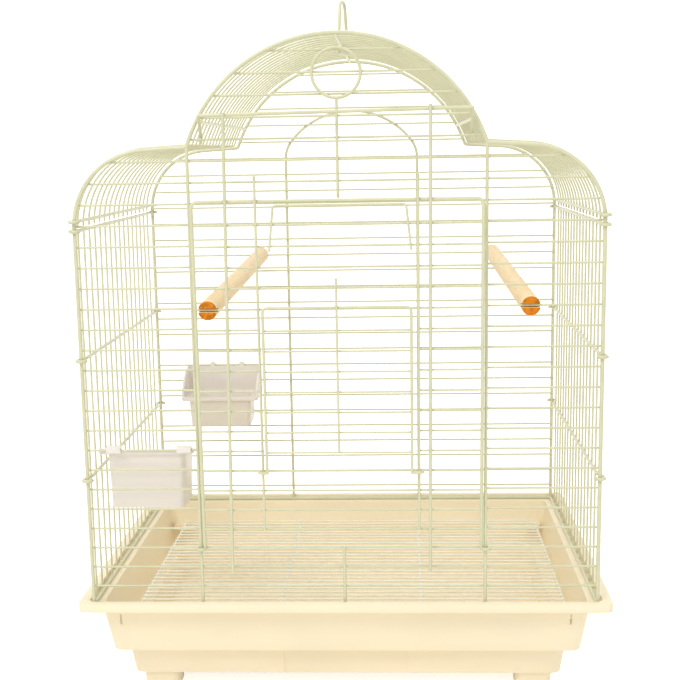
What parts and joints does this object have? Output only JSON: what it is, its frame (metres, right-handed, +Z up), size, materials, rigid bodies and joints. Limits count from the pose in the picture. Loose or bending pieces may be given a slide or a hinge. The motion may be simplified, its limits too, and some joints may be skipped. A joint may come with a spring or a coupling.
{
  "type": "bird cage",
  "caption": "Wire bird cage with an arched front and roof on a moulded tray, with a swing-out front door, a sliding feeder door, wooden perches, hook-on cups and a hanging loop.",
  "frame": {"origin": "on the surface the feet stand on, under the middle of the whole, its doors included", "axes": "+Z up, -Y towards the front with the doors, +X to the right as seen from the front"},
  "size_m": [0.457, 0.3656, 0.6076],
  "materials": {
    "coated_wire": "smooth cream coating, semi-gloss",
    "door_wire": "smooth cream coating, semi-gloss",
    "tray_plastic": "moulded cream plastic, soft sheen",
    "cup_plastic": "moulded lilac-white plastic, soft sheen",
    "perch_wood": "bare smooth dowel"
  },
  "bodies": {
    "tray": {"tray": "tray_plastic"},
    "cage": {"front_panel": "coated_wire", "back_panel": "coated_wire", "back_stiffener": "coated_wire", "left_side_panel": "coated_wire", "right_side_panel": "coated_wire", "roof_panel": "coated_wire", "ridge_bar": "coated_wire", "arch_ring": "coated_wire", "perch_left": "perch_wood", "perch_right": "perch_wood"},
    "floor_grate": {"floor_grate": "coated_wire"},
    "front_door": {"front_door_panel": "door_wire", "door_rail_left": "door_wire", "door_rail_right": "door_wire", "guide_rail_left": "door_wire", "guide_rail_right": "door_wire", "door_hanger_bar": "door_wire", "lift_handle": "door_wire"},
    "feeder_door": {"feeder_door_panel": "door_wire", "feeder_door_pull": "door_wire"},
    "hanging_loop": {"hanging_loop": "coated_wire"},
    "seed_cup": {"seed_cup": "cup_plastic"},
    "grit_cup": {"grit_cup": "cup_plastic"}
  },
  "joints": [
    {"name": "cage_lift", "type": "slide", "parent": "tray", "child": "cage", "axis": [0, 0, 1], "range_m": [0, 0.15]},
    {"name": "grate_lift", "type": "slide", "parent": "tray", "child": "floor_grate", "axis": [0, 0, 1], "range_m": [0, 0.05]},
    {"name": "front_door_swing", "type": "hinge", "parent": "cage", "child": "front_door", "pos_m": [0, -0.16118, 0.4829], "axis": [-1, 0, 0], "range_deg": [0, 13]},
    {"name": "feeder_door_slide", "type": "slide", "parent": "front_door", "child": "feeder_door", "axis": [0, -0.0316, 0.9995], "range_m": [0, 0.14]},
    {"name": "hanging_loop_swing", "type": "hinge", "parent": "cage", "child": "hanging_loop", "pos_m": [0, 0.00477, 0.56415], "axis": [0, 1, 0], "range_deg": [-55, 55]},
    {"name": "seed_cup_unhook", "type": "slide", "parent": "cage", "child": "seed_cup", "axis": [0, 0, 1], "range_m": [0, 0.006]},
    {"name": "grit_cup_unhook", "type": "slide", "parent": "cage", "child": "grit_cup", "axis": [0, 0, 1], "range_m": [0, 0.006]}
  ]
}
